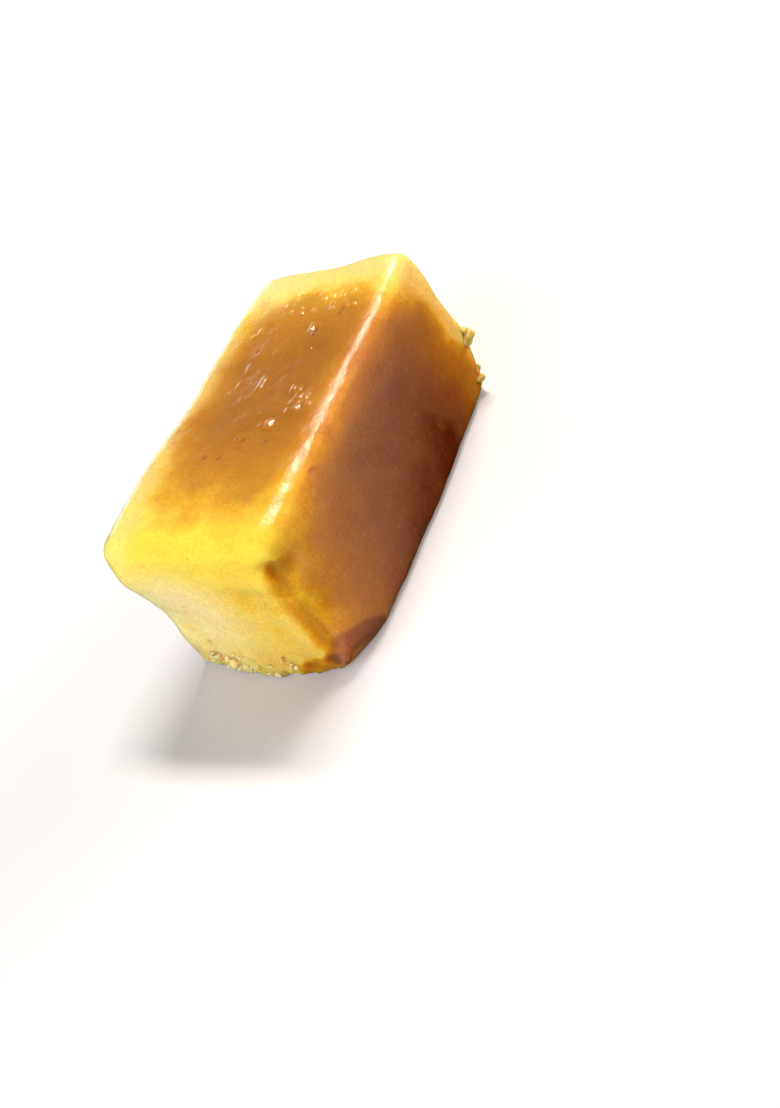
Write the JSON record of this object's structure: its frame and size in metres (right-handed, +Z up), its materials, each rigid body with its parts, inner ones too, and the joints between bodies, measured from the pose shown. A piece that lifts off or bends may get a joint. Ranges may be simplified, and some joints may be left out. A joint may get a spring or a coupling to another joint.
{
  "type": "mysore pak",
  "caption": "Oblong piece of mysore pak, a dense gram-flour and ghee fudge, knife-cut with soft rounded edges, a dented corner and a flat base.",
  "frame": {"origin": "bottom centre of the whole piece, on the face it rests on", "axes": "+Z up, away from the flat base; +Y along the length, away from the near end, which has the dented corner; +X across, towards the side face of that corner"},
  "size_m": [0.0298, 0.0538, 0.0254],
  "materials": {
    "fudge": "dense ghee-rich fudge, golden brown in the middle of the cut faces and yellow towards both ends, with a thin oily sheen"
  },
  "bodies": {
    "root": {"pak_piece": "fudge"}
  },
  "joints": []
}
